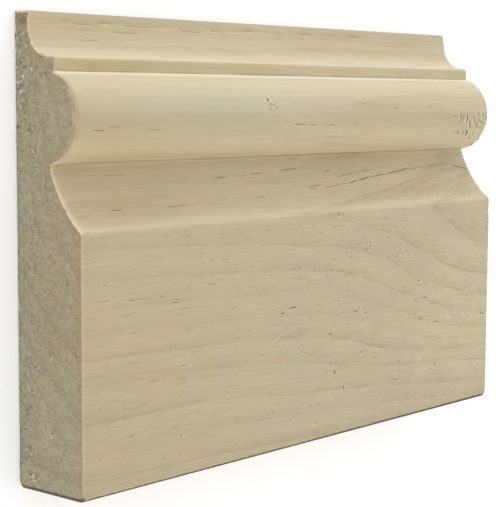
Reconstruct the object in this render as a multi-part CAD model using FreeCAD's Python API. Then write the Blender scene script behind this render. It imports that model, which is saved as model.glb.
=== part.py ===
# Moulded skirting board length: one piece of planed softwood with a torus moulding along its top edge.
#
# The board lies on its back. X runs along the length, Y from the bottom edge (low) to the top edge (high), and
# Z from the flat back (0) out to the front face. The origin is the middle of the back, on the surface it lies on.
# A place in the section is given by its depth out from the back and its height above the bottom edge.
import FreeCAD, Part
import math
import os

# Overall size, millimetres
board_length = 220.0
board_height = 145.0
board_thickness = 29.0

# Moulded band from the top edge down. Set-backs are measured from the front face, as the cutter is set.
lip_thickness = 6.3
cove_drop = 13.4
cove_radius = 9.0
fillet_height = 4.5
torus_radius = 14.2
torus_projection = 10.2
torus_set_back = 1.6
quirk_inset = 1.8
scoop_height = 19.4
scoop_radius = 40.0

# Eased arrises along the length
lip_arris_radius = 1.2
fillet_arris_radius = 1.0
scoop_arris_radius = 1.0
bottom_front_radius = 2.0
bottom_back_radius = 1.7

# Depths out from the back
torus_nose = board_thickness - torus_set_back
torus_centre_depth = torus_nose - torus_radius
fillet_depth = torus_nose - torus_projection
quirk_depth = fillet_depth - quirk_inset
ledge_width = fillet_depth - lip_thickness

# Heights above the bottom edge, from the top down
ledge_height = board_height - cove_drop
fillet_foot = ledge_height - fillet_height
torus_centre_height = fillet_foot - math.sqrt(torus_radius**2 - (fillet_depth - torus_centre_depth)**2)
quirk_height = torus_centre_height - math.sqrt(torus_radius**2 - (quirk_depth - torus_centre_depth)**2)
face_top = quirk_height - scoop_height

# The cove is the hollow fillet between lip and ledge, so the ledge bounds it.
cove_turn = min(cove_radius, ledge_width - fillet_arris_radius)


def section_point(depth, height):
    """A point of the section, in the plane of the left end."""
    return FreeCAD.Vector(-board_length / 2, height - board_height / 2, depth)


def line(start, end):
    """A straight stretch of the outline between two (depth, height) places."""
    return Part.LineSegment(section_point(*start), section_point(*end)).toShape()


def arc(start, middle, end):
    """A round stretch of the outline through three (depth, height) places."""
    return Part.Arc(section_point(*start), section_point(*middle), section_point(*end)).toShape()


def scoop_middle(start, end):
    """The point halfway round the hollow between torus and front face, which curves in towards the wood."""
    half_chord = math.dist(start, end) / 2
    sagitta = scoop_radius - math.sqrt(scoop_radius**2 - half_chord**2)
    across = ((end[1] - start[1]) / (2 * half_chord), (start[0] - end[0]) / (2 * half_chord))
    return tuple((start[i] + end[i]) / 2 + sagitta * across[i] for i in range(2))


def section_outline():
    """The closed section, clockwise from the back's foot, with its long arrises still sharp."""
    back_foot = (0, 0)
    back_top = (0, board_height)
    lip_top = (lip_thickness, board_height)
    cove_top = (lip_thickness, ledge_height + cove_turn)
    cove_foot = (lip_thickness + cove_turn, ledge_height)
    fillet_top = (fillet_depth, ledge_height)
    fillet_bottom = (fillet_depth, fillet_foot)
    nose = (torus_nose, torus_centre_height)
    quirk = (quirk_depth, quirk_height)
    face_arris = (board_thickness, face_top)
    face_foot = (board_thickness, 0)
    cove_bow = cove_turn * (1 - math.sqrt(0.5))
    cove_middle = (lip_thickness + cove_bow, ledge_height + cove_bow)
    return Part.Wire([
        line(back_foot, back_top),
        line(back_top, lip_top),
        line(lip_top, cove_top),
        arc(cove_top, cove_middle, cove_foot),
        line(cove_foot, fillet_top),
        line(fillet_top, fillet_bottom),
        arc(fillet_bottom, nose, quirk),
        arc(quirk, scoop_middle(quirk, face_arris), face_arris),
        line(face_arris, face_foot),
        line(face_foot, back_foot),
    ])


def long_edge(solid, depth, height):
    """The edge that runs the board's length at one (depth, height) place of the section."""
    left = section_point(depth, height)
    middle = left + FreeCAD.Vector(board_length / 2, 0, 0)
    return min(solid.Edges, key=lambda edge: edge.CenterOfMass.distanceToPoint(middle))


def ease(solid, depth, height, radius):
    """Round one long arris."""
    return solid.makeFillet(radius, [long_edge(solid, depth, height)])


def skirting_board():
    """The section drawn along the length, with its arrises eased as the planer leaves them."""
    board = Part.Face(section_outline()).extrude(FreeCAD.Vector(board_length, 0, 0))
    board = ease(board, lip_thickness, board_height, lip_arris_radius)
    board = ease(board, fillet_depth, ledge_height, fillet_arris_radius)
    board = ease(board, board_thickness, face_top, scoop_arris_radius)
    board = ease(board, board_thickness, 0, bottom_front_radius)
    board = ease(board, 0, 0, bottom_back_radius)
    return board


os.makedirs("parts", exist_ok=True)
skirting_board().exportStep("parts/skirting_board.step")
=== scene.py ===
import bmesh
import bpy
import math
import random
from mathutils import Matrix, Vector, kdtree, noise


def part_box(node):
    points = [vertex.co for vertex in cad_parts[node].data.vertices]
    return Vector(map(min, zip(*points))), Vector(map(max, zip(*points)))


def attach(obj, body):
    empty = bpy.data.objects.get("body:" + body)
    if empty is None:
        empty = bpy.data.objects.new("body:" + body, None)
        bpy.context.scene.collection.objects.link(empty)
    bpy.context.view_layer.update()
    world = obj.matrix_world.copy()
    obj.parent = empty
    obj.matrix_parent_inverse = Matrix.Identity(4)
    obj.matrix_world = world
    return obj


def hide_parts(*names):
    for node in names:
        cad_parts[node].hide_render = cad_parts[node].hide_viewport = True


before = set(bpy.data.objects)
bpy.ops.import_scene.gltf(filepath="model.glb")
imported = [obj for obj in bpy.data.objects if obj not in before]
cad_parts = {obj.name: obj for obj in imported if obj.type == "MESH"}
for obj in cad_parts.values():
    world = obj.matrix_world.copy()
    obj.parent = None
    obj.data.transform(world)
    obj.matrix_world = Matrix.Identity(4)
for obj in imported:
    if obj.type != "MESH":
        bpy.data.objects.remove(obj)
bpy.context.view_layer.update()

# The skirting board is one length of planed softwood. A moulder ran its lip, cove, fillet, torus and scoop in
# one pass and eased its long arrises. It lies on its back, and a place on it is given by its distance along
# from the left end, its height above the bottom edge and its depth out from the back, in metres.
back_corner, front_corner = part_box("skirting_board")
board_length, board_height, board_thickness = front_corner - back_corner
saw_allowance = 0.0003
lip_thickness = 0.0063
cove_drop = 0.0134
cove_radius = 0.0090
fillet_height = 0.0045
torus_radius = 0.0142
torus_projection = 0.0102
torus_set_back = 0.0016
quirk_inset = 0.0018
scoop_height = 0.0194
scoop_radius = 0.0400

ledge_height = board_height - cove_drop
fillet_foot = ledge_height - fillet_height
torus_nose = board_thickness - torus_set_back
fillet_depth = torus_nose - torus_projection
quirk_depth = fillet_depth - quirk_inset
torus_depth = torus_nose - torus_radius
torus_height = fillet_foot - math.sqrt(torus_radius**2 - (fillet_depth - torus_depth)**2)
quirk_height = torus_height - math.sqrt(torus_radius**2 - (quirk_depth - torus_depth)**2)
face_top = quirk_height - scoop_height

round_step = 0.0007
flat_step = 0.0018
length_step = 0.0100
touching = 1e-6
section = bmesh.new()


def section_place(depth, height):
    """A place of the section, in the plane of the sawn left end."""
    return back_corner + Vector((saw_allowance, height, depth))


def run_straight(pen, depth, height):
    """Draws a straight stretch of the section and returns its tip."""
    tip = bmesh.ops.extrude_vert_indiv(section, verts=[pen])["verts"][0]
    tip.co = section_place(depth, height)
    return tip


def run_round(pen, centre, end):
    """Draws a round stretch of the section about a centre and returns its tip."""
    middle = section_place(*centre)
    start_arm = pen.co - middle
    end_arm = section_place(*end) - middle
    angle = start_arm.angle(end_arm) * math.copysign(1, start_arm.cross(end_arm).x)
    steps = round(abs(angle) * start_arm.length / round_step)
    turned = bmesh.ops.spin(section, geom=[pen], cent=middle, axis=(1, 0, 0), angle=angle, steps=steps)
    return next(part for part in turned["geom_last"] if isinstance(part, bmesh.types.BMVert))


scoop_chord = Vector((board_thickness - quirk_depth, face_top - quirk_height))
scoop_reach = math.sqrt(scoop_radius**2 - scoop_chord.length_squared / 4) / scoop_chord.length
scoop_depth = quirk_depth + scoop_chord.x / 2 - scoop_chord.y * scoop_reach
scoop_centre_height = quirk_height + scoop_chord.y / 2 + scoop_chord.x * scoop_reach

pen = bmesh.ops.create_vert(section, co=section_place(0, 0))["vert"][0]
pen = run_straight(pen, 0, board_height)
pen = run_straight(pen, lip_thickness, board_height)
pen = run_straight(pen, lip_thickness, ledge_height + cove_radius)
pen = run_round(
    pen,
    (lip_thickness + cove_radius, ledge_height + cove_radius),
    (lip_thickness + cove_radius, ledge_height),
)
pen = run_straight(pen, fillet_depth, ledge_height)
pen = run_straight(pen, fillet_depth, fillet_foot)
pen = run_round(pen, (torus_depth, torus_height), (quirk_depth, quirk_height))
pen = run_round(pen, (scoop_depth, scoop_centre_height), (board_thickness, face_top))
pen = run_straight(pen, board_thickness, 0)
pen = run_straight(pen, 0, 0)
bmesh.ops.remove_doubles(section, verts=section.verts[:], dist=touching)

# Each long arris as its depth, its height and how far it is eased.
eased_arrises = (
    (lip_thickness, board_height, 0.0012),
    (fillet_depth, ledge_height, 0.0010),
    (board_thickness, face_top, 0.0005),
    (board_thickness, 0, 0.0020),
    (0, 0, 0.0017),
)
for depth, height, ease in eased_arrises:
    arris = section_place(depth, height)
    corner = min(section.verts, key=lambda vert: (vert.co - arris).length)
    bmesh.ops.bevel(section, geom=[corner], offset=ease, offset_type="OFFSET", segments=4, profile=0.5,
                    affect="VERTICES", material=-1)

for edge in section.edges[:]:
    cuts = round(edge.calc_length() / flat_step) - 1
    if cuts > 0:
        bmesh.ops.subdivide_edges(section, edges=[edge], cuts=cuts)

# Places close together along the moulded side tell how near a place of a sawn end is to the planed front.
places_on_edge = 4
front_places = []
for edge in section.edges:
    first, last = (vert.co for vert in edge.verts)
    if min(first.z, last.z) > back_corner.z and min(first.y, last.y) > back_corner.y:
        front_places += [first.lerp(last, step / places_on_edge) for step in range(places_on_edge)]
front_side = kdtree.KDTree(len(front_places))
for number, place in enumerate(front_places):
    front_side.insert(place, number)
front_side.balance()

board = section
bmesh.ops.contextual_create(board, geom=board.edges[:])
left_end_x = back_corner.x + saw_allowance
right_end_x = front_corner.x - saw_allowance
bmesh.ops.spin(board, geom=board.faces[:] + board.edges[:] + board.verts[:], cent=(0, 0, 0), axis=(1, 0, 0),
               dvec=(right_end_x - left_end_x, 0, 0), angle=0, steps=1)
bmesh.ops.recalc_face_normals(board, faces=board.faces[:])

# Each end is a saw cut across the grain. Its arris is worn off a little all round, and the saw left the cut
# fibres rough: fine scores, small tear-outs near the back, and flecks of fibre standing proud.
end_arris = 0.0006
end_cells = {left_end_x: 0.00031, right_end_x: 0.0007}


def slice_faces(faces, point, normal):
    """Cuts some of the board's faces along a plane and returns all that they became."""
    parts = list(faces)
    for face in faces:
        parts += [*face.edges, *face.verts]
    parts = list(dict.fromkeys(parts))
    cut = bmesh.ops.bisect_plane(board, geom=parts, plane_co=point, plane_no=normal, dist=1e-7)
    return [part for part in cut["geom"] if isinstance(part, bmesh.types.BMFace)]


end_outline = [
    edge for edge in board.edges
    if any(all(abs(vert.co.x - end) < touching for vert in edge.verts) for end in end_cells)
]
bmesh.ops.bevel(board, geom=end_outline, offset=end_arris, offset_type="OFFSET", segments=3, profile=0.5,
                affect="EDGES", material=-1, clamp_overlap=False)

long_edges = [edge for edge in board.edges if edge.calc_length() > board_length / 2]
length_cuts = round(board_length / length_step) - 1
bmesh.ops.subdivide_edges(board, edges=long_edges, cuts=length_cuts, use_grid_fill=True)
for face in board.faces:
    face.smooth = True

# Marks in the planed faces: resin ducts that the cutter opened, a shake along the scoop, a pin knot and torn
# grain on the torus, a scratch, and small rough patches. Their places are along and height in millimetres,
# and their tone runs from -1, pale, to 1, dark.
mark_tone = board.faces.layers.float.new("mark_tone")
millimetre = 0.001
facing_front = 0.03
tip_taper = 0.5
wall_share = 0.2
shallow = 0.02
scoop_foot, scoop_top = 80, 99


def press_mark(start, end, width, press, tone):
    """Opens a narrow mark in the front between two places. A press below zero raises it on the torus. Under
    the quirk it makes a shallow one, because there nothing may stand out past the board's own front."""
    first = back_corner + Vector((*start, 0)) * millimetre
    last = back_corner + Vector((*end, 0)) * millimetre
    width *= millimetre
    middle = (first + last) / 2
    reach = (last - first).length / 2
    lengthwise = (last - first).normalized()
    crosswise = Vector((-lengthwise.y, lengthwise.x, 0))
    room = abs(first.x - last.x) / 2 + width, abs(first.y - last.y) / 2 + width

    def offsets(place):
        """How far a place is from the mark's middle, lengthwise and crosswise."""
        gap = place - middle
        return gap.dot(lengthwise), gap.dot(crosswise)

    near = []
    for face in board.faces:
        if face.normal.z < facing_front or abs(face.verts[0].co.x - middle.x) > room[0] + length_step:
            continue
        across = [vert.co.x - middle.x for vert in face.verts]
        up = [vert.co.y - middle.y for vert in face.verts]
        if min(across) < room[0] and max(across) > -room[0] and min(up) < room[1] and max(up) > -room[1]:
            near.append(face)
    near = slice_faces(near, first, lengthwise)
    near = slice_faces(near, last, lengthwise)
    near = [face for face in near if abs(offsets(face.calc_center_median())[0]) < reach]
    near = slice_faces(near, middle - crosswise * width / 2, crosswise)
    near = slice_faces(near, middle + crosswise * width / 2, crosswise)
    inside = []
    for face in near:
        away, aside = offsets(face.calc_center_median())
        if abs(away) < reach and abs(aside) < width / 2:
            inside.append(face)
            face[mark_tone] = tone
    tips = {vert for face in inside for vert in face.verts if abs(offsets(vert.co)[0]) > reach * 0.98}
    for vert in tips:
        vert.co -= crosswise * offsets(vert.co)[1] * tip_taper
    if press < 0 and middle.y < back_corner.y + quirk_height:
        press = shallow
    if inside:
        walls = bmesh.ops.inset_region(board, faces=inside, thickness=width * wall_share,
                                       depth=-press * millimetre, use_even_offset=False)["faces"]
        for face in inside + walls:
            face.smooth = False


def grain_rise(along, height):
    """How steeply the grain climbs to the right at a place on the front: most on the scoop."""
    if height < scoop_foot:
        return -0.0005 * along
    if height < scoop_top:
        return 0.055 * max(0.0, min(1.0, (along - 20) / 60))
    return -0.01


def press_along(along, height, length, width, press, tone):
    """Opens a mark along the grain about its middle."""
    reach = length / 2
    rise = grain_rise(along, height) * reach
    press_mark((along - reach, height - rise), (along + reach, height + rise), width, press, tone)


# Ducts as along, height and length. Each kind has its width, its press and its tone.
strong_ducts = (
    (97, 48.7, 2), (91.2, 47.3, 2), (132, 43.8, 2.6), (138.3, 42.7, 1.4), (117.5, 37.2, 2.2),
    (183, 34.4, 1.6), (171, 51.4, 1.6), (173, 36.7, 1.4), (156.5, 15.7, 1.8), (215.5, 34.3, 3),
    (175.5, 44.6, 2),
)
plain_ducts = (
    (102.5, 110.7, 6), (109, 110.6, 3.4), (119.5, 110.3, 6), (15.5, 110.8, 5), (133, 110.4, 2.4),
    (20, 85.6, 5), (46, 85.6, 8), (118, 88.9, 8), (90.5, 94.1, 7), (72, 93.4, 5.4), (162, 75.6, 2.4),
    (83.5, 76, 2.6), (62.5, 67.7, 3.4), (88.5, 43.4, 2), (43, 36, 2.6), (128.5, 93.7, 4), (107.5, 94.9, 9),
    (9, 109.8, 4), (157.5, 116, 2.4), (39.2, 56.2, 3.2), (66.5, 51.6, 1.8),
)
faint_ducts = (
    (44.6, 47, 3), (30, 32.7, 3.6), (56, 67.8, 3), (55.5, 60.3, 3.6), (38, 42.4, 3), (43, 31.6, 3),
    (17.5, 25.8, 3), (24.5, 25.8, 3.4), (19.5, 17, 3), (39, 16.8, 3), (147, 29, 3), (138, 33.2, 1.6),
    (200, 19.2, 2.6), (182, 18, 3), (182, 14.4, 3), (143, 12.8, 2.4), (148, 11.8, 1.6), (22, 58.6, 6),
    (18, 54.2, 4), (8, 59.4, 6), (111, 32.2, 1.8), (122, 49.6, 1.6), (128, 53.6, 1.8), (131, 72.3, 1.8),
    (103, 57.6, 2.4), (154, 37.8, 1.8), (168.5, 37.4, 1.8), (31.5, 109.7, 6), (83, 105.9, 3.6),
    (124, 106, 11), (166, 109.8, 2.4), (138.5, 117.6, 3), (180, 116.6, 3), (187, 116.8, 2.6),
    (188, 114.8, 2.4), (25, 95.8, 9), (53.5, 92.9, 3), (83, 93.6, 4), (117, 88, 5), (87, 86.5, 5),
    (129, 88.4, 3), (142, 95.8, 2.4), (137, 90.2, 5),
)
lip_ducts = (
    (92.5, 141.9, 5), (31.5, 142.2, 6), (14, 142.4, 3), (82, 141.6, 5), (70, 141, 9), (158, 142.3, 8),
    (146, 142.5, 5), (22, 141.6, 9), (45, 141.8, 11), (56.5, 141.9, 7), (99, 142.2, 4), (40, 139.6, 12),
    (24, 136.8, 9), (114, 141.6, 6), (130, 142.2, 7),
)
duct_kinds = (
    (strong_ducts, 0.46, 0.12, 1.00),
    (plain_ducts, 0.32, 0.08, 0.68),
    (faint_ducts, 0.28, 0.06, 0.42),
    (lip_ducts, 0.22, 0.05, 0.50),
)
for ducts, width, press, tone in duct_kinds:
    for along, height, length in ducts:
        finer = 0.75 if height > scoop_foot else 1
        press_along(along, height, length, width * finer, press, tone)

# The finest ducts lie anywhere on the flat.
fine_duct_count = 110
draw = random.Random(31)
for _ in range(fine_duct_count):
    along, height = draw.uniform(4, 216), draw.uniform(4, 79)
    length = draw.uniform(0.9, 2.8)
    press_along(along, height, length, 0.26, 0.05, draw.uniform(0.2, 0.5))

# The shake, which fades at both ends, a fainter one over it and the broken brown line in the quirk.
shake_start = ((124, 88.2), (129, 88.5), (134, 89), (139, 89.1))
shake = (
    (139, 89.1), (143, 89.8), (146.5, 90), (151, 90.7), (155, 90.9), (160, 91.4), (164, 91.5), (169, 92.1),
    (172.5, 92.3), (177, 93),
)
shake_end = ((177, 93), (182, 93), (187, 93.3), (193, 93.4), (199, 93.9), (207, 94.2))
upper_shake = ((133, 91.3), (139, 92.2), (145, 92.8), (149, 92.9), (153, 93.3), (158, 93.3))
right_shake = ((209, 93.4), (214, 92.4), (218, 91.8))
quirk_lines = (
    ((48, 98.7), (53, 98.7)), ((57, 98.6), (66, 98.7)), ((76, 98.7), (86, 98.8)), ((97, 98.7), (101, 98.6)),
    ((107, 98.7), (116, 98.8)), ((121, 98.6), (127, 98.7)), ((136, 98.7), (150, 98.8)),
)
joined_marks = (
    (shake_start, 0.22, 0.07, 0.55),
    (shake, 0.28, 0.12, 0.85),
    (shake_end, 0.20, 0.06, 0.50),
    (upper_shake, 0.22, 0.07, 0.55),
    (right_shake, 0.30, 0.10, 0.80),
    *((places, 0.22, 0.04, 0.22) for places in quirk_lines),
)
for places, width, press, tone in joined_marks:
    for start, end in zip(places, places[1:]):
        press_mark(start, end, width, press, tone)

# Where the grain rises at the right end of the torus, the cutter tore it: short pits across the grain, with
# slivers standing proud beside them. Each mark has its start, end, width, press and tone. The tones are
# partly
# painted light and shade: the dark pits carry painted shadow and the pale slivers a painted highlight, over
# the torn fibres' own colour.
torn_grain = (
    ((200.6, 113.7), (200.1, 110.6), 0.6, 0.24, 0.6), ((199.4, 112.7), (199.3, 110.9), 0.68, -0.21, -0.84),
    ((201.3, 111.9), (201.1, 110.5), 0.58, -0.16, -0.7), ((205.1, 113), (204.7, 110), 0.8, 0.34, 0.85),
    ((203.8, 112.8), (204, 110.1), 0.68, -0.29, -1), ((206, 112.3), (205.9, 109.2), 0.68, -0.26, -1),
    ((206.8, 111.7), (207.5, 109.7), 0.6, 0.26, 0.65), ((207.6, 109.6), (208.3, 108.4), 0.6, 0.24, 0.65),
    ((208.9, 110.1), (209.4, 108.8), 0.58, -0.16, -0.7), ((210, 110.9), (211.4, 110.7), 0.4, 0.16, 0.55),
    ((213.3, 112), (213.1, 110.3), 0.6, 0.26, 0.7), ((213.9, 110.2), (214.2, 109.3), 0.63, -0.21, -1),
    ((214.3, 110.9), (215.3, 110.6), 0.45, 0.16, 0.5), ((212.3, 108.7), (214, 108.4), 0.45, 0.16, 0.6),
    ((215.1, 108.4), (216.6, 108), 0.4, 0.16, 0.5), ((216.5, 110.4), (216.9, 109.4), 0.6, 0.22, 0.7),
    ((217.6, 109.9), (218.2, 108.6), 0.58, -0.21, -0.84), ((218.3, 110.2), (219, 107.9), 0.5, 0.26, 0.75),
    ((215.9, 113.9), (216.3, 112.9), 0.9, 0.22, 0.55), ((215, 114.1), (215, 112.9), 0.58, -0.13, -0.7),
    ((192.3, 113), (192.6, 111.5), 0.4, 0.1, 0.25), ((194.6, 113.3), (194.5, 112), 0.4, 0.1, 0.2),
    ((193.5, 113), (193.6, 111.8), 0.58, -0.1, -0.56), ((196.4, 113.4), (196.2, 112), 0.4, 0.12, 0.3),
    ((198, 113), (197.8, 111.8), 0.4, 0.12, 0.3), ((202.7, 113.4), (202.8, 112), 0.4, 0.1, 0.25),
    ((200.2, 107.1), (201.5, 106), 0.5, 0.2, 0.55), ((201.6, 105.5), (202.8, 105.3), 0.58, -0.13, -0.56),
    ((205, 107.2), (204.6, 105.7), 0.65, 0.2, 0.5), ((203.7, 107), (203.9, 106.1), 0.58, -0.13, -0.56),
    ((207, 107.3), (207.6, 105.4), 0.9, 0.34, 0.9), ((206, 107.1), (206.3, 105.5), 0.63, -0.26, -1),
    ((208.5, 107.1), (208.8, 106), 0.68, -0.21, -0.98),
    ((208.6, 105.2), (209.9, 104.9), 0.58, -0.16, -0.84), ((210.3, 105.7), (211.5, 103.8), 0.6, 0.16, 0.35),
    ((195.5, 107.4), (195.7, 106.5), 0.4, 0.08, 0.2), ((197.4, 107.3), (197.5, 106.4), 0.4, 0.08, 0.2),
    ((218.5, 104.6), (219, 103.2), 0.5, -0.3, 0.1), ((217.6, 102.4), (218.7, 101.2), 0.5, -0.35, 0.1),
    ((216.6, 106.2), (217.4, 104.8), 0.4, 0.14, 0.35), ((202.1, 112.6), (202.2, 110.6), 0.5, 0.2, 0.6),
    ((202.9, 111.8), (203, 110.2), 0.5, -0.2, -0.8), ((208.2, 111.6), (208.4, 110.4), 0.6, -0.24, -1),
    ((209.7, 112.3), (209.9, 111.3), 0.5, 0.2, 0.6), ((210.6, 109.9), (211, 108.8), 0.6, -0.22, -0.9),
    ((211.7, 110.1), (212, 109), 0.5, 0.22, 0.7), ((212.4, 111.9), (212.3, 110.6), 0.56, -0.22, -1),
    ((214.9, 112.4), (215, 111.3), 0.56, -0.2, -0.9), ((215.9, 110.2), (216.1, 109), 0.56, -0.24, -1),
    ((217.3, 112.3), (217.6, 110.8), 0.6, -0.22, -0.9), ((218, 112.6), (218.4, 111), 0.5, 0.22, 0.7),
    ((213, 114.2), (213.1, 113), 0.5, 0.18, 0.5), ((211.2, 113.2), (211.3, 112.2), 0.5, -0.16, -0.7),
    ((216.9, 115), (217.2, 113.9), 0.54, -0.18, -0.8), ((198.8, 107.4), (198.9, 106.3), 0.44, 0.14, 0.4),
    ((199.4, 107.2), (199.6, 106.2), 0.5, -0.14, -0.6), ((210.4, 107.2), (210.9, 106.2), 0.5, -0.18, -0.8),
    ((211.9, 106.6), (212.6, 105.4), 0.44, 0.16, 0.45),
)
for start, end, width, press, tone in torn_grain:
    press_mark(start, end, width, press, tone)

# The pin knot, in the same kind of marks, and the scratch, one bent line of one width, press and tone.
pin_knot = (
    ((85.6, 119.3), (86.3, 118.6), 0.8, 0.26, 0.9), ((84.4, 119.4), (84.8, 118.2), 0.5, -0.06, -0.4),
    ((86.9, 120), (87.2, 119.2), 0.5, -0.06, -0.45), ((84.9, 118), (85.7, 117.5), 0.5, -0.06, -0.45),
    ((86.2, 117.7), (87.4, 117.2), 0.5, 0.07, 0.5), ((87.4, 117.2), (88.9, 117), 0.5, 0.06, 0.42),
    ((86.8, 116.7), (88.6, 116.3), 0.5, -0.05, -0.4), ((86.4, 116.4), (86.9, 115.6), 0.5, 0.06, 0.3),
    ((88.9, 116.4), (90.3, 116.1), 0.5, 0.06, 0.34), ((85.2, 116.2), (85.7, 115.6), 0.4, 0.05, 0.2),
    ((87.6, 118.6), (88.3, 118.2), 0.4, -0.05, -0.4), ((90.2, 118.3), (91, 118), 0.4, 0.05, 0.2),
)
scratch = ((84, 36.8), (86.5, 38.2), (90, 39.8), (94, 40.9), (98.5, 41.4))
for start, end, width, press, tone in pin_knot:
    press_mark(start, end, width, press, tone)
scratch_cut = (0.34, -0.04, -0.45)
for start, end in zip(scratch, scratch[1:]):
    press_mark(start, end, *scratch_cut)

# Single pits as along, height, size and tone, and the ticks of the planer's knives in two rows.
single_pits = (
    (121.5, 79.2, 1, 0.9), (122.4, 74.6, 0.7, 0.5), (126.2, 65.4, 0.8, 0.8), (120.2, 23.2, 1.1, 1),
    (125.4, 17.2, 1.4, 0.8), (183.2, 18.4, 0.9, 0.9), (106.8, 13.2, 0.8, 0.7), (86.6, 13.8, 1.1, 0.55),
    (41.6, 13.7, 1.1, 0.5), (158.5, 63.2, 0.6, 0.6), (133, 62.8, 0.7, 0.6), (161.6, 61.9, 0.6, 0.6),
    (216.9, 68.8, 0.9, 0.8), (184.2, 19, 0.7, -0.9), (182.4, 17.6, 0.5, -0.9), (126.4, 17.6, 0.8, -0.8),
    (42.4, 13.4, 0.7, -0.7), (87.4, 13.6, 0.7, -0.7), (121, 77.4, 0.6, 0.4), (123.2, 73.8, 0.6, -0.6),
)
ticks = (96.2, 98.0, 99.9, 112.0, 113.6, 115.4, 116.8, 118.2)
tick_cut = (0.34, 0.08, 0.55)
for along, height, size, tone in single_pits:
    press_mark((along, height + size / 2), (along + 0.1, height - size / 2), size * 0.6, 0.14, tone)
for along in ticks:
    height = 61.8 if along < 105 else 59.6
    press_mark((along, height + 0.5), (along + 0.2, height - 0.5), *tick_cut)

# Rough patches of tiny pits and raised specks, as their reach along, their reach up and how many there are.
rough_patches = (
    ((153, 165), (61.4, 65.2), 30), ((128, 150), (64.6, 67.4), 14), ((131, 138), (43.6, 46), 7),
    ((184, 190), (59.8, 62.8), 6),
)
proud_share = 0.62
for (left, right), (foot, top), count in rough_patches:
    for _ in range(count):
        along, height = draw.uniform(left, right), draw.uniform(foot, top)
        size = draw.uniform(0.4, 0.8)
        side = -1 if draw.random() < proud_share else 1
        press_mark((along, height), (along + 0.1, height - size), size * 0.9, 0.10 * side, 0.6 * side)

# The right half of the flat has more small specks than the rest: dark ones that the cutter opened, and pale
# ones where it lifted a fibre.
speck_count = 120
pale_share = 0.3
for _ in range(speck_count):
    along, height = draw.uniform(95, 216), draw.uniform(5, 77)
    pale = draw.random() < pale_share
    length = draw.uniform(0.7, 1.8)
    tone = draw.uniform(-0.7, -0.4) if pale else draw.uniform(0.35, 0.8)
    press_along(along, height, length, 0.28, 0.07, tone)

# No mark's wall stands out past the planed front.
for vert in board.verts:
    vert.co.z = min(vert.co.z, front_corner.z)

# Each sawn end is still one face with a great many corners. It is cut into small cells, whose corners then
# take its roughness.
fewest_corners = 50
for end, cell in end_cells.items():
    end_faces = [
        face for face in board.faces
        if len(face.verts) > fewest_corners and abs(face.verts[0].co.x - end) < touching
    ]
    for face in end_faces:
        face.material_index = 1
    strips = []
    for row in range(1, round(board_height / cell)):
        height = back_corner.y + row * cell
        end_faces = slice_faces(end_faces, (end, height, 0), (0, 1, 0))
        strips += [face for face in end_faces if face.calc_center_bounds().y < height]
        end_faces = [face for face in end_faces if face.calc_center_bounds().y > height]
    uncut = strips + end_faces
    for column in range(1, round(board_thickness / cell)):
        depth = back_corner.z + column * cell
        uncut = [face for face in uncut if max(vert.co.z for vert in face.verts) > depth]
        uncut = slice_faces(uncut, (end, 0, depth), (0, 0, 1))

# Tear-outs and proud fibres that stand out on the left end, as depth, height and radius in millimetres.
tear_outs = (
    (1.9, 138.4, 1.4), (2.6, 136.2, 1), (6.2, 135.4, 1.3), (2.2, 134, 1.3), (2.4, 130.2, 1),
    (7.4, 128.8, 1.3), (1.7, 128.6, 1), (2.9, 126.4, 1.2), (2.2, 124.6, 1.2), (2.8, 122.4, 1.3),
    (4.2, 119.6, 1.2), (3.4, 116.8, 0.9), (5.8, 114.6, 1.2), (6.6, 110.4, 1.3), (4.6, 112.8, 0.9),
    (1.9, 110.2, 0.9), (8.6, 104.4, 1.2), (6.2, 104.2, 0.9), (9.8, 100.6, 1), (3.4, 102.6, 0.9),
    (2.4, 97.6, 0.9), (12.4, 125.4, 0.9), (5, 13.2, 1.6), (1.9, 7.4, 1.2), (5.3, 5.4, 1.4), (7.8, 4.6, 1.2),
    (4.2, 24.4, 0.9), (5.4, 25.6, 0.8), (2.4, 28.4, 0.8), (15.8, 19.2, 1.3), (14.6, 42.6, 1),
    (8.4, 82.6, 1.2), (9, 75.4, 0.9), (22.4, 66, 0.8), (26.4, 43.8, 0.9), (14.4, 115.2, 0.8),
    (11.2, 36.8, 0.8), (8.2, 38.4, 0.8), (3.2, 19.6, 0.9), (20.4, 13.8, 0.7), (6.6, 31.2, 0.9),
    (24.2, 58.4, 0.8),
)
proud_fibres = (
    (25.1, 54.4, 0.8), (5.1, 42.4, 0.7), (23.2, 62.6, 0.5), (26.4, 45.2, 0.6), (5.4, 31.6, 0.7),
    (12.6, 126.6, 0.6), (8.9, 127.4, 0.5), (6, 51.6, 0.5), (7.6, 65.8, 0.5), (10.6, 67.6, 0.5),
    (15.4, 108.6, 0.4), (3, 41.8, 0.4), (22.6, 16.4, 0.5), (24.8, 21.6, 0.5), (26.6, 51.8, 0.5),
    (9, 84, 0.6), (14, 88.6, 0.5), (24.2, 67.8, 0.5),
)

# Chips off the arris, as end (-1 is the left), depth, height, reach and how deep, in millimetres. The relief
# stays inside its limits, and so inside the saw allowance.
chips = (
    (-1, 17, 131.2, 1.7, 1.1), (-1, 17.4, 128.2, 1, 0.7), (-1, 13.6, 131.7, 1.2, 0.5),
    (-1, 15.2, 99.4, 1, 0.5), (-1, 5.6, 145, 1.4, 0.6), (1, 6.3, 145, 2.4, 1.1), (1, 17.2, 131.6, 1.2, 0.5),
    (1, 29, 0, 2, 0.9), (1, 29, 76.4, 0.6, 0.4), (1, 26.9, 108.4, 1.2, 0.3), (1, 23.6, 104.2, 0.8, 0.3),
)
millimetres = 1000
torn = board.verts.layers.float.new("torn_fibre")
front_gap = board.verts.layers.float.new("front_gap")
relief_limits = (-0.6, 0.26)
arris_wear, torn_lip, tear_depth, fibre_height = 0.35, 0.27, 0.42, 0.28
arris_wander = 0.0002


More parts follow.
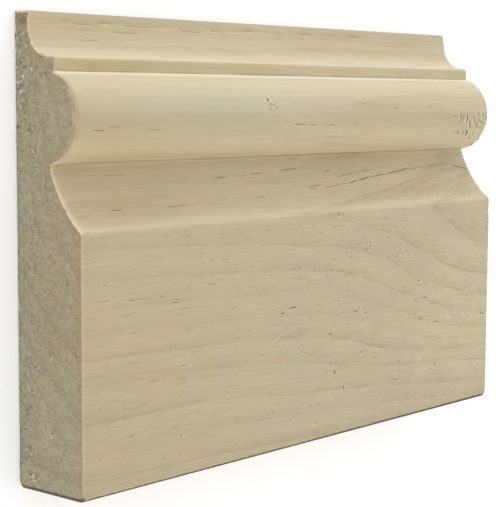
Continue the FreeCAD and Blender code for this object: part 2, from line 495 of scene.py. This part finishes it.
def sawn_relief(depth, height, seed):
    """How far the fibres stand out of the saw cut at a place in millimetres: scores, fuzz and small pits."""
    score = noise.noise(Vector((depth * 0.3, height * 2.6, seed)))
    fuzz = noise.noise(Vector((depth * 1.1, height * 1.5, seed + 20)))
    fine_fuzz = noise.noise(Vector((depth * 2.3, height * 2.7, seed + 30)))
    near_back = max(0.0, 1 - depth / 12) * (1.0 if height > 95 else 0.6)
    pitting = noise.noise(Vector((depth * 0.9, height * 0.9, seed + 40))) + 0.2 * near_back - 0.5
    return 0.04 * score + (0.05 + 0.09 * near_back) * (fuzz + 0.6 * fine_fuzz) - 1.1 * max(0.0, pitting)


for vert in board.verts:
    from_end = min(vert.co.x - left_end_x, right_end_x - vert.co.x)
    if from_end > end_arris * 1.5:
        continue
    left = vert.co.x < 0
    outward = -1 if left else 1
    depth = (vert.co.z - back_corner.z) * millimetres
    height = (vert.co.y - back_corner.y) * millimetres
    on_face = 1 - min(1.0, from_end / end_arris)
    from_front = front_side.find((left_end_x, vert.co.y, vert.co.z))[2] * millimetres
    vert[front_gap] = from_front
    relief = sawn_relief(depth, height, 0 if left else 300)
    wear_reach = 1.8 if 100 < height < 127 else 1.0
    relief -= arris_wear * max(0.0, 1 - from_front / wear_reach)**2
    ragged = 1 + noise.noise(Vector((depth * 1.7, height * 1.7, 70)))
    bent_depth = depth + 1.5 * noise.noise(Vector((depth * 1.1, height * 1.1, 71)))
    bent_height = height + 2.0 * noise.noise(Vector((depth * 1.1, height * 1.1, 72)))
    for middle_depth, middle_height, reach in tear_outs if left else ():
        if abs(depth - middle_depth) > 3 or abs(height - middle_height) > 4:
            continue
        away = math.hypot(bent_depth - middle_depth, bent_height - middle_height) / reach
        low_side = max(0.2, min(1.0, 0.6 + (middle_height - bent_height) / reach))
        lip = math.exp(-8 * (away - 1.0)**2) * low_side
        relief += torn_lip * lip * ragged - tear_depth * math.exp(-2.4 * away**2)
    for middle_depth, middle_height, reach in proud_fibres if left else ():
        away = math.hypot(bent_depth - middle_depth, bent_height - middle_height) / reach
        if away < 2.5:
            relief += fibre_height * math.exp(-2.5 * away**2) * ragged
    relief = max(relief_limits[0], min(relief_limits[1], relief))
    vert[torn] = relief * on_face
    vert.co.x += outward * millimetre * relief * on_face
    if on_face < 0.999:
        wander = arris_wander * noise.noise(Vector((depth * 0.25, height * 0.25, 90)))
        vert.co.x += outward * wander * (1 - on_face)
    for side, chip_depth, chip_height, reach, deep in chips:
        away = math.hypot(depth - chip_depth, height - chip_height) / reach
        if side == outward and away < 2.5:
            vert.co.x -= outward * millimetre * deep * math.exp(-away**2) * (0.6 + 0.4 * ragged)

# The timber's own figure: growth rings round a pith that lay in front of the board, straight fibres along it,
# and slow changes of tone. Both finishes cut through the same figure, so it runs on from the face to the end.
# From here on a place is in millimetres.
ring_width = 6.3
pith_height, pith_depth = 115, 73
hidden_knot, knot_reach = (228, 90, 22), 20


def add_node(tree, kind, sockets=None, **settings):
    """A shader node with its settings made and its sockets set or joined."""
    node = tree.nodes.new(kind)
    for setting, value in settings.items():
        setattr(node, setting, value)
    for socket, value in (sockets or {}).items():
        if isinstance(value, bpy.types.NodeSocket):
            tree.links.new(value, node.inputs[socket])
        else:
            node.inputs[socket].default_value = value
    return node


def maths(tree, operation, *terms, clamp=False):
    """The result of one sum over values."""
    sockets = dict(enumerate(terms))
    return add_node(tree, "ShaderNodeMath", sockets, operation=operation, use_clamp=clamp).outputs[0]


def product(tree, *terms):
    """Several values multiplied together."""
    total = terms[0]
    for term in terms[1:]:
        total = maths(tree, "MULTIPLY", total, term)
    return total


def vectors(tree, operation, *terms):
    """The result of one sum over places: a value for a length or a distance, and otherwise a place."""
    node = add_node(tree, "ShaderNodeVectorMath", dict(enumerate(terms)), operation=operation)
    return node.outputs["Value" if operation in ("LENGTH", "DISTANCE") else "Vector"]


def ramp(tree, value, start, end, low=0.0, high=1.0):
    """A soft step from low to high as a value goes from start to end."""
    sockets = {"Value": value, "From Min": start, "From Max": end, "To Min": low, "To Max": high}
    return add_node(tree, "ShaderNodeMapRange", sockets, interpolation_type="SMOOTHSTEP").outputs["Result"]


def between(tree, value, begin, full, full_to, end):
    """A mask that fades in from begin to full and out from full_to to end."""
    return product(tree, ramp(tree, value, begin, full), ramp(tree, value, end, full_to))


def split(tree, place):
    """The three values of a place."""
    return add_node(tree, "ShaderNodeSeparateXYZ", {0: place}).outputs


def join(tree, along, height, depth):
    """A place made of three values."""
    return add_node(tree, "ShaderNodeCombineXYZ", {"X": along, "Y": height, "Z": depth}).outputs[0]


def cloud(tree, place, scale, detail, dimensions="3D"):
    """Soft noise about one half."""
    where = "W" if dimensions == "1D" else "Vector"
    sockets = {where: place, "Scale": scale, "Detail": detail}
    return add_node(tree, "ShaderNodeTexNoise", sockets, noise_dimensions=dimensions).outputs[0]


def centred(tree, mask, strength, base=1.0):
    """A mask about one half made a change about zero, and added to a base."""
    return maths(tree, "MULTIPLY_ADD", maths(tree, "SUBTRACT", mask, 0.5), strength, base)


def tint(tree, strength, base, colour, mixing="MIX"):
    """A colour laid over another by a mask."""
    node = add_node(tree, "ShaderNodeMix", data_type="RGBA", blend_type=mixing)
    for socket, value in zip((node.inputs[0], node.inputs[6], node.inputs[7]), (strength, base, colour)):
        if isinstance(value, bpy.types.NodeSocket):
            tree.links.new(value, socket)
        else:
            socket.default_value = value
    return node.outputs[2]


def new_group(name, inputs, outputs):
    """An empty shader group with its named sockets, its input sockets and its output node."""
    group = bpy.data.node_groups.new(name, "ShaderNodeTree")
    for socket, kind in inputs.items():
        group.interface.new_socket(socket, in_out="INPUT", socket_type=kind)
    for socket in outputs:
        group.interface.new_socket(socket, in_out="OUTPUT", socket_type="NodeSocketFloat")
    return group, group.nodes.new("NodeGroupInput").outputs, group.nodes.new("NodeGroupOutput")


figure, figure_in, figure_out = new_group(
    "pine_figure",
    {"Place": "NodeSocketVector", "Dive": "NodeSocketFloat"},
    ("Latewood", "Ring Line", "Fibre", "Fine Fibre", "Dashes", "Mottle", "Blush"),
)
along, height, depth = split(figure, figure_in["Place"])
along_squared = product(figure, along, along)
below_torus = ramp(figure, height, 100, 86)
on_torus = ramp(figure, height, 99, 111)

# The rings dive to the right past the middle of the length, later near the top and less near the foot.
late_dive = ramp(figure, height, 52, 68, 0, 20)
dive = product(figure, ramp(figure, maths(figure, "SUBTRACT", along, late_dive), 100, 210),
               ramp(figure, height, 16, 36), below_torus, figure_in["Dive"])
sunk_height = maths(figure, "MULTIPLY_ADD", along_squared, 0.00022, height)
ring_height = maths(figure, "MULTIPLY_ADD", dive, 13, sunk_height)
depth_sink = ramp(figure, height, 99, 111, 0.0002, 0.00005)
grain_depth = maths(figure, "MULTIPLY_ADD", along_squared, depth_sink, depth)
knot_gap = maths(figure, "DIVIDE", vectors(figure, "DISTANCE", figure_in["Place"], hidden_knot), knot_reach)
knot = maths(figure, "EXPONENT", product(figure, maths(figure, "POWER", knot_gap, 2), -1))

# The radius about the pith, which the knot, the torus and slow noise bend, tells the place in a ring.
foot_squash = ramp(figure, height, 3, 37, 0.45, 1)
ring_across = product(figure, maths(figure, "SUBTRACT", pith_depth, grain_depth), foot_squash)
ring_up = maths(figure, "SUBTRACT", pith_height, ring_height)
ring_up = maths(figure, "ADD", ring_up, ramp(figure, ring_height, 78, 112, 0, 18))
radius = vectors(figure, "LENGTH", join(figure, ring_across, ring_up, 0))
radius = maths(figure, "MULTIPLY_ADD", knot, -4, radius)
radius = maths(figure, "MULTIPLY_ADD", on_torus, 1.1, radius)
slow_place = vectors(figure, "MULTIPLY", figure_in["Place"], (0.014, 0.06, 0.06))
radius = centred(figure, cloud(figure, slow_place, 1, 3), 3.0, radius)
radius = centred(figure, cloud(figure, radius, 0.13, 0, "1D"), 1.6, radius)
ring_count = maths(figure, "ADD", maths(figure, "DIVIDE", radius, ring_width), 0.4)
through_ring = maths(figure, "FRACT", ring_count)
ring_number = maths(figure, "FLOOR", ring_count)
ring_tone = add_node(figure, "ShaderNodeTexWhiteNoise", {"W": ring_number}, noise_dimensions="1D")
ring_tone = ramp(figure, ring_tone.outputs["Value"], 0, 1, 0.3, 1)
broken_place = join(figure, product(figure, along, 0.022), product(figure, height, 0.35), depth)
broken = cloud(figure, broken_place, 1, 2)
ring_strength = product(figure, ring_tone, ramp(figure, broken, 0.25, 0.65, 0.25, 1))
growing_late = ramp(figure, through_ring, 0.35, 0.95)
ring_close = ramp(figure, through_ring, 0.95, 1.0, 1, 0)
latewood = product(figure, growing_late, ring_close, ring_strength)
line_place = ramp(figure, through_ring, 0.86, 0.95)
ring_line = product(figure, line_place, ring_close, ring_strength, ramp(figure, broken, 0.38, 0.6))

# Fibres follow the grain, which dives less than the rings do, and are drawn out along it.
grain_height = maths(figure, "MULTIPLY_ADD", dive, 4, sunk_height)


def drawn_out(stretch, scale, detail, set_off=0):
    """Soft noise that is long in the direction of the grain."""
    out = maths(figure, "ADD", grain_depth, set_off) if set_off else grain_depth
    return cloud(figure, join(figure, product(figure, along, stretch), grain_height, out), scale, detail)


fibre = drawn_out(0.03, 0.9, 3)
fine_fibre = drawn_out(0.045, 2.4, 3)
dashes = ramp(figure, drawn_out(0.07, 2.4, 0), 0.70, 0.84)
mottle = drawn_out(0.25, 0.11, 3)
blush = drawn_out(0.3, 0.17, 3, 60)
for socket, value in zip(figure_out.inputs, (latewood, ring_line, fibre, fine_fibre, dashes, mottle, blush)):
    figure.links.new(value, socket)


def new_timber(name, dive):
    """A material with the figure in it, how much its rings dive, and the place in the board's millimetres."""
    material = bpy.data.materials.new(name)
    material.use_nodes = True
    tree = material.node_tree
    sockets = {
        "Vector": add_node(tree, "ShaderNodeTexCoord").outputs["Object"],
        "Location": -back_corner * millimetres,
        "Scale": (millimetres,) * 3,
    }
    place = add_node(tree, "ShaderNodeMapping", sockets).outputs[0]
    grown = add_node(tree, "ShaderNodeGroup", {"Place": place, "Dive": dive}, node_tree=figure).outputs
    return material, tree, tree.nodes["Principled BSDF"], place, grown


def attribute(tree, name):
    """A value that the mesh carries."""
    return add_node(tree, "ShaderNodeAttribute", attribute_name=name).outputs["Fac"]


def bump(tree, shader, relief, distance):
    """Raises the surface by a mask."""
    raised = add_node(tree, "ShaderNodeBump", {"Height": relief, "Distance": distance, "Strength": 1.0})
    tree.links.new(raised.outputs[0], shader.inputs["Normal"])


# Planed faces: pale creamy pine, a little pinker in the latewood, silky along the fibres. It is yellower at
# the left and stained in soft patches. It carries painted highlights on the worn arris at the left sawn end
# and beside the moulding's inner corners, painted shade along the foot arris and at the foot of the fillet,
# and painted light under the torus and in the quirk. The flat ends at a height of 80 mm, the scoop at 99.4,
# the torus at 127.1 and the fillet at 131.6.
earlywood_colour = (0.612, 0.526, 0.345, 1)
latewood_colour = (0.500, 0.392, 0.238, 1)
line_colour = (0.320, 0.262, 0.172, 1)
dash_colour = (0.300, 0.215, 0.110, 1)
resin_and_shade_colour = (0.120, 0.078, 0.036, 1)
pale_fibre_and_highlight_colour = (0.880, 0.820, 0.660, 1)
edge_shade_colour = (0.066, 0.053, 0.034, 1)
planed_pine, tree, shader, place, grown = new_timber("planed_pine", 1)
shader.inputs["IOR"].default_value = 1.42
along, height, depth = split(tree, place)
on_torus = between(tree, height, 99, 103, 126, 128.5)
calmer = ramp(tree, on_torus, 0, 1, 1, 0.5)
late_strength = product(tree, calmer, ramp(tree, along, 20, 120, 0.43, 0.58))
late = product(tree, grown["Latewood"], late_strength)
colour = tint(tree, late, earlywood_colour, latewood_colour)
on_flat = ramp(tree, height, 84, 76, 0.25, 1)
line_strength = product(tree, ramp(tree, along, 80, 150, 0.12, 0.42), on_flat)
colour = tint(tree, product(tree, grown["Ring Line"], line_strength), colour, line_colour)
shade = centred(tree, grown["Fibre"], product(tree, calmer, 0.17))
shade = centred(tree, grown["Fine Fibre"], product(tree, calmer, 0.22), shade)
shade = centred(tree, grown["Mottle"], 0.14, shade)
colour = tint(tree, 1.0, colour, join(tree, shade, shade, shade), "MULTIPLY")

# Slow changes of tone, each as what it follows, where it begins, where it is full and the tint that it gives.
slow_changes = (
    (grown["Blush"], 0.5, 0.72, (1.01, 0.972, 0.965, 1)),
    (grown["Blush"], 0.5, 0.28, (0.975, 0.995, 0.975, 1)),
    (along, 95, 5, (0.965, 0.935, 0.890, 1)),
    (height, 9, 2, (0.955, 0.945, 0.940, 1)),
    (height, 143.9, 144.7, (0.72, 0.74, 0.77, 1)),
)
for followed, begin, full, change in slow_changes:
    colour = tint(tree, ramp(tree, followed, begin, full), colour, change, "MULTIPLY")

# Bands that run the length: the height where each begins, where it is full, where it is full to and where it
# ends, and the tint that it gives. The first is painted light under the torus, the seventh painted shade at
# the foot of the fillet and the eighth painted light in the quirk.
bands = (
    (99.3, 100.6, 103.5, 114, (1.19, 1.20, 1.17, 1)),
    (79.6, 80.4, 81.6, 85, (0.93, 0.92, 0.90, 1)),
    (83.5, 86.5, 89, 93, (1.07, 1.07, 1.07, 1)),
    (137.0, 139.5, 141.6, 142.4, (1.08, 1.09, 1.09, 1)),
    (131.0, 131.3, 131.6, 132.2, (1.05, 1.05, 1.03, 1)),
    (127.05, 127.2, 130.8, 131.3, (1.03, 1.03, 0.98, 1)),
    (127.05, 127.2, 127.4, 129.0, (0.86, 0.86, 0.80, 1)),
    (98.0, 98.8, 99.4, 99.7, (1.14, 1.13, 1.08, 1)),
    (0.5, 0.9, 1.3, 1.9, (1.12, 1.13, 1.16, 1)),
    (5, 8, 12, 17, (0.968, 0.970, 0.972, 1)),
    (140.8, 142.0, 143.2, 144.0, (1.045, 1.035, 1.025, 1)),
)
for *edges, band in bands:
    colour = tint(tree, between(tree, height, *edges), colour, band, "MULTIPLY")

# Stains as their middle and reach along, up and out, and the tint that they give.
stains = (
    ((205, 28, 29), (9, 5, 9), (0.99, 1.00, 0.84, 1)),
    ((135.5, 20, 29), (6, 5, 9), (0.99, 1.00, 0.90, 1)),
    ((38, 30, 29), (7, 11, 9), (1.00, 0.99, 0.91, 1)),
    ((54, 32, 29), (8, 8, 9), (1.00, 1.00, 0.91, 1)),
    ((97, 16, 29), (9, 4, 9), (1.01, 0.96, 0.97, 1)),
    ((132, 49, 29), (20, 9, 9), (0.97, 0.98, 1.00, 1)),
    ((215, 32, 29), (85, 60, 20), (1.07, 1.085, 1.09, 1)),
    ((88, 117, 26), (4, 2.4, 9), (0.95, 0.91, 0.86, 1)),
    ((18, 71, 29), (50, 18, 9), (1.02, 1.05, 1.04, 1)),
    ((150, 118.4, 26), (20, 5, 9), (1.03, 0.955, 0.90, 1)),
    ((50, 118, 26), (95, 10, 20), (0.945, 1.02, 1.05, 1)),
    ((12, 133, 11), (50, 6, 12), (1.03, 1.06, 1.11, 1)),
    ((22, 129, 17), (34, 4, 6), (0.96, 0.90, 0.84, 1)),
    ((90, 129, 17), (30, 4, 6), (0.98, 0.94, 0.88, 1)),
    ((45, 142.7, 6), (85, 1.8, 5), (0.98, 0.965, 0.93, 1)),
    ((160, 140, 6), (70, 6, 6), (1.00, 0.96, 0.93, 1)),
)
for middle, reach, stain in stains:
    gap = vectors(tree, "DIVIDE", vectors(tree, "SUBTRACT", place, middle), reach)
    colour = tint(tree, ramp(tree, vectors(tree, "LENGTH", gap), 1.0, 0.0), colour, stain, "MULTIPLY")

# Dark dashes in the fibres, and the marks: resin where the tone is above zero, lifted fibre below it. In the
# torn grain the same tones also paint shade into the pits and light onto the slivers.
dash_strength = ramp(tree, height, 78, 84, 0.34, 0.12)
colour = tint(tree, product(tree, grown["Dashes"], dash_strength), colour, dash_colour)
tone = attribute(tree, "mark_tone")
colour = tint(tree, maths(tree, "MULTIPLY", tone, 1.0, clamp=True), colour, resin_and_shade_colour)
colour = tint(tree, maths(tree, "MULTIPLY", tone, -1.0, clamp=True), colour, pale_fibre_and_highlight_colour)

# Lines along the moulding's inner corners: painted shade at the foot of the fillet with a painted highlight
# under it on the torus, the dark line that the cutter left in the quirk with a painted highlight over it, and
# a faint pale line on the ledge.
cutter_line_and_shade_colour = (0.210, 0.150, 0.080, 1)
broken_place = join(tree, product(tree, along, 0.06), product(tree, height, 0.3), depth)
broken = cloud(tree, broken_place, 1, 2)
fillet_foot_shade = product(tree, between(tree, height, 127.0, 127.1, 127.2, 127.8),
                      ramp(tree, depth, 17.5, 17.3), ramp(tree, broken, 0.35, 0.6, 0.10, 0.45))
fillet_foot_highlight = product(tree, between(tree, height, 126.0, 126.7, 127.1, 127.3),
                      ramp(tree, depth, 17.2, 17.5, 0, 0.5))
quirk_dark = product(tree, between(tree, height, 99.2, 99.5, 99.8, 100.1),
                     ramp(tree, broken, 0.35, 0.6, 0.05, 0.30), ramp(tree, along, 150, 215, 1, 0.5),
                     ramp(tree, along, 20, 130, 0.05, 1))
quirk_highlight = product(tree, between(tree, height, 100.0, 100.3, 100.6, 101.0),
                     ramp(tree, broken, 0.65, 0.4, 0.10, 0.35))
ledge_pale = product(tree, ramp(tree, depth, 15.9, 16.7), ramp(tree, height, 130.6, 131.1, 0, 0.15))
for mask in (fillet_foot_highlight, quirk_highlight, ledge_pale):
    colour = tint(tree, mask, colour, pale_fibre_and_highlight_colour)
for mask in (fillet_foot_shade, quirk_dark):
    colour = tint(tree, mask, colour, cutter_line_and_shade_colour)

# Soft lines of a flame where rings run out at the right of the torus and scoop, as the height where each
# crosses the left end, its rise for each millimetre along, where it fades in and its half width.
flame_tint = (0.86, 0.78, 0.69, 1)
flames = (
    (108.1, 0.075, 138, 0.8), (113.6, 0.030, 150, 0.6), (121.2, -0.030, 146, 0.7), (127.0, -0.070, 168, 0.6),
    (65.4, 0.130, 118, 0.7), (60.0, 0.150, 136, 0.5), (57.9, 0.148, 162, 0.7), (54.0, 0.140, 190, 0.5),
)
bowed = maths(tree, "ADD", centred(tree, broken, 2.0, 0), height)
above_flat = ramp(tree, height, 80, 82)
softer_up = ramp(tree, height, 97, 103, 1, 0.55)
for left_height, rise, begin, half_width in flames:
    line_height = maths(tree, "MULTIPLY_ADD", along, rise, left_height)
    line_gap = maths(tree, "ABSOLUTE", maths(tree, "SUBTRACT", bowed, line_height))
    flame = product(tree, ramp(tree, line_gap, half_width, 0, 0, 0.45), ramp(tree, along, begin, begin + 20),
                    above_flat, softer_up)
    colour = tint(tree, flame, colour, flame_tint, "MULTIPLY")

# The worn arris at each sawn end. At the left it carries a painted highlight along the cove, scoop and flat,
# where it catches the light, and it is brown and wider round the torus and on the ledge. At the right it is
# darkened along its length.
arris_highlight_colour = (0.780, 0.690, 0.480, 1)
smear_colour = (0.360, 0.290, 0.170, 1)
far_rim_colour = (0.260, 0.215, 0.140, 1)
frayed = cloud(tree, place, 0.9, 2)
from_left = maths(tree, "MULTIPLY_ADD", frayed, -1.1, along)
round_torus = between(tree, height, 98, 103, 123, 127.5)
on_ledge = between(tree, height, 126.5, 128.5, 131.9, 132.6)
smeared = maths(tree, "MAXIMUM", round_torus, on_ledge)
soft_arris_highlight = product(tree, ramp(tree, from_left, 2.4, -0.2, 0, 0.3), ramp(tree, height, 79, 81),
                   ramp(tree, height, 98, 95))
arris_highlight = product(tree, ramp(tree, from_left, 0.35, -0.35), ramp(tree, smeared, 0, 1, 1, 0),
                   ramp(tree, height, 79, 82, 0.10, 0.75))
brown_rim = product(tree, ramp(tree, from_left, 1.1, -0.2), smeared,
                    ramp(tree, round_torus, 0, 1, 0.65, 0.35))
far_rim = ramp(tree, maths(tree, "MULTIPLY_ADD", frayed, 0.6, along), 219.0, 219.6)
colour = tint(tree, soft_arris_highlight, colour, arris_highlight_colour)
colour = tint(tree, arris_highlight, colour, arris_highlight_colour)
colour = tint(tree, brown_rim, colour, smear_colour)
colour = tint(tree, product(tree, far_rim, 0.6), colour, far_rim_colour)

# Painted shade along the foot arris, darkest at its edge, and on the bottom and back corners of the left end.
soft_foot_shade_colour = (0.105, 0.084, 0.053, 1)
end_edge_shade = maths(tree, "MAXIMUM", ramp(tree, height, 2.2, 1.2), ramp(tree, depth, 1.2, 0.5))
end_edge_shade = product(tree, end_edge_shade, ramp(tree, from_left, 0.4, 0.0, 0, 0.9))
colour = tint(tree, end_edge_shade, colour, edge_shade_colour)
foot_height = maths(tree, "MULTIPLY_ADD", frayed, -0.9, maths(tree, "MULTIPLY_ADD", along, -0.0022, height))
on_foot = product(tree, ramp(tree, depth, 26.4, 28.1), ramp(tree, broken, 0.3, 0.5, 0.7, 1))
soft_foot_shade = product(tree, ramp(tree, foot_height, 0.80, 0.20, 0, 0.88), on_foot)
colour = tint(tree, soft_foot_shade, colour, soft_foot_shade_colour)
# The core of the painted shade along the foot arris.
foot = product(tree, ramp(tree, foot_height, 0.45, 0.05, 0, 0.97), on_foot)
colour = tint(tree, foot, colour, edge_shade_colour)
tree.links.new(colour, shader.inputs["Base Color"])
tree.links.new(ramp(tree, grown["Latewood"], 0, 1, 0.70, 0.60), shader.inputs["Roughness"])
grain_relief = 0.000025
relief = maths(tree, "MULTIPLY_ADD", grown["Latewood"], 0.5, grown["Fine Fibre"])
bump(tree, shader, relief, grain_relief)

# Sawn ends: the open ends of the fibres soak up the light, so they look greyer and darker, with torn fibres
# whitish, tear-outs brown, and fine specks of both all over.
end_colour = (0.366, 0.326, 0.217, 1)
end_late_colour = (0.285, 0.250, 0.158, 1)
end_line_colour = (0.200, 0.172, 0.105, 1)
end_front_colour = (0.362, 0.290, 0.175, 1)
worn_torus_colour = (0.500, 0.440, 0.300, 1)
end_fleck_colour = (0.540, 0.485, 0.335, 1)
torn_fibre_colour = (0.680, 0.625, 0.480, 1)
tear_colour = (0.175, 0.140, 0.085, 1)
top_corner_colour = (0.200, 0.135, 0.075, 1)
sawn_pine, tree, shader, place, grown = new_timber("sawn_pine", 0)
shader.inputs["Roughness"].default_value = 0.8
shader.inputs["IOR"].default_value = 1.40
along, height, depth = split(tree, place)
speckle_place = join(tree, along, height, product(tree, depth, 0.8))
patches = cloud(tree, speckle_place, 0.16, 3)
speckle = cloud(tree, speckle_place, 0.7, 4)
fine_speckle = cloud(tree, speckle_place, 1.25, 2)
late = product(tree, grown["Latewood"], ramp(tree, speckle, 0.3, 0.6, 0.35, 0.75))
colour = tint(tree, late, end_colour, end_late_colour)
broken_line = product(tree, grown["Ring Line"], ramp(tree, speckle, 0.35, 0.6, 0.1, 0.6))
colour = tint(tree, broken_line, colour, end_line_colour)
colour = tint(tree, ramp(tree, patches, 0.5, 0.66), colour, (1.025, 0.990, 0.970, 1), "MULTIPLY")
colour = tint(tree, ramp(tree, patches, 0.5, 0.34), colour, (0.985, 1.00, 0.960, 1), "MULTIPLY")

# Towards the planed front the cut is smeared smooth and browner, most of all round the torus and the ledge.
gap_to_front = maths(tree, "MULTIPLY_ADD", speckle, -1.2, attribute(tree, "front_gap"))
smear_reach = ramp(tree, height, 98, 103, 0, 1.2)
smear = ramp(tree, maths(tree, "SUBTRACT", gap_to_front, smear_reach), 3.2, 0.2, 0, 0.95)
colour = tint(tree, smear, colour, end_front_colour)
worn_torus = product(tree, between(tree, height, 103, 108, 120, 124), ramp(tree, gap_to_front, 2.2, 0), 0.75)
colour = tint(tree, worn_torus, colour, worn_torus_colour)
ledge_gap = maths(tree, "MULTIPLY_ADD", speckle, -3, vectors(tree, "DISTANCE", place, (0, 130, 15)))
colour = tint(tree, ramp(tree, ledge_gap, 4, 0, 0, 0.7), colour, end_front_colour)
warm = product(tree, between(tree, height, 25, 45, 85, 105), ramp(tree, depth, 6, 14))
colour = tint(tree, warm, colour, (1.0, 0.968, 0.94, 1), "MULTIPLY")
shade = centred(tree, speckle, 0.75)
shade = centred(tree, grown["Mottle"], 0.20, shade)
colour = tint(tree, 1.0, colour, join(tree, shade, shade, shade), "MULTIPLY")

# Specks, torn fibres, dark dirt in the top corner, and painted shade along the foot and the back.
towards_back = ramp(tree, depth, 20, 2, 0.35, 1)
flecks = product(tree, ramp(tree, fine_speckle, 0.58, 0.74), towards_back, 0.72)
specks = product(tree, ramp(tree, fine_speckle, 0.42, 0.26), towards_back, 0.78)
colour = tint(tree, flecks, colour, end_fleck_colour)
colour = tint(tree, specks, colour, tear_colour)
fibre_end = attribute(tree, "torn_fibre")
colour = tint(tree, ramp(tree, fibre_end, 0.10, 0.22, 0, 0.9), colour, torn_fibre_colour)
colour = tint(tree, ramp(tree, fibre_end, -0.16, -0.46, 0, 0.6), colour, tear_colour)
top_corner = product(tree, ramp(tree, height, 138.5, 143), ramp(tree, speckle, 0.40, 0.56, 0.15, 0.9))
colour = tint(tree, top_corner, colour, top_corner_colour)
# Painted shade along the sawn end's foot and back edges.
foot = ramp(tree, maths(tree, "SUBTRACT", height, speckle), 1.0, 0.2, 0, 0.92)
back_edge_shade = ramp(tree, maths(tree, "SUBTRACT", depth, speckle), 0.3, -0.4, 0, 0.7)
colour = tint(tree, maths(tree, "MAXIMUM", foot, back_edge_shade), colour, edge_shade_colour)
tree.links.new(colour, shader.inputs["Base Color"])
saw_relief = 0.00010
bump(tree, shader, fine_speckle, saw_relief)

# The board in one piece, with both finishes. It is the whole part, and rides on its only body.
mesh = bpy.data.meshes.new("pine_board")
board.to_mesh(mesh)
pine_board = bpy.data.objects.new("pine_board", mesh)
bpy.context.scene.collection.objects.link(pine_board)
mesh.materials.append(planed_pine)
mesh.materials.append(sawn_pine)
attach(pine_board, "root")
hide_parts("skirting_board")

# A pale table top under the board. It glows a little, so that it is nearly white in the picture.
floor_gap = 0.0002
floor_mesh = bmesh.new()
bmesh.ops.create_grid(floor_mesh, x_segments=1, y_segments=1, size=3.0)
bmesh.ops.translate(floor_mesh, verts=floor_mesh.verts[:], vec=(0, 0, -floor_gap))
floor_data = bpy.data.meshes.new("floor")
floor_mesh.to_mesh(floor_data)
floor = bpy.data.objects.new("floor", floor_data)
bpy.context.scene.collection.objects.link(floor)
table_top = bpy.data.materials.new("table_top")
table_top.use_nodes = True
table_shader = table_top.node_tree.nodes["Principled BSDF"]
table_shader.inputs["Base Color"].default_value = (0.93, 0.93, 0.93, 1)
table_shader.inputs["Roughness"].default_value = 0.9
table_shader.inputs["Emission Color"].default_value = (1, 1, 1, 1)
table_shader.inputs["Emission Strength"].default_value = 0.28
floor_data.materials.append(table_top)

# The camera looks down on the board past its left end, from where the photograph's perspective puts it, with
# the lip at the top of the picture.
camera_place = Vector((-0.404389, 0.046952, 0.350508))
camera_look = Vector((0.749734, -0.102861, -0.653696)).normalized()
camera_rise = Vector((0.074399, 0.994684, -0.071187))
camera_right = camera_look.cross(camera_rise).normalized()
camera_up = camera_right.cross(camera_look)
lens = bpy.data.cameras.new("camera")
lens.lens = 106.68
lens.sensor_width = 36
lens.clip_start = 0.01
camera = bpy.data.objects.new("camera", lens)
bpy.context.scene.collection.objects.link(camera)
camera.matrix_world = Matrix.Translation(camera_place) @ Matrix(
    (camera_right, camera_up, -camera_look)).transposed().to_4x4()
bpy.context.scene.camera = camera

# White studio walls all round, and one large soft light from beyond the lip.
world = bpy.data.worlds.new("studio")
world.use_nodes = True
world.node_tree.nodes["Background"].inputs["Color"].default_value = (1, 1, 1, 1)
world.node_tree.nodes["Background"].inputs["Strength"].default_value = 0.84
bpy.context.scene.world = world
sun_data = bpy.data.lights.new("sun", "SUN")
sun_data.energy = 2.9
sun_data.angle = math.radians(20)
sun_data.color = (0.78, 0.86, 1.0)
sun = bpy.data.objects.new("sun", sun_data)
sun.rotation_euler = (-math.pi / 2, 0, 0)
bpy.context.scene.collection.objects.link(sun)
bpy.context.scene.view_settings.view_transform = "Standard"
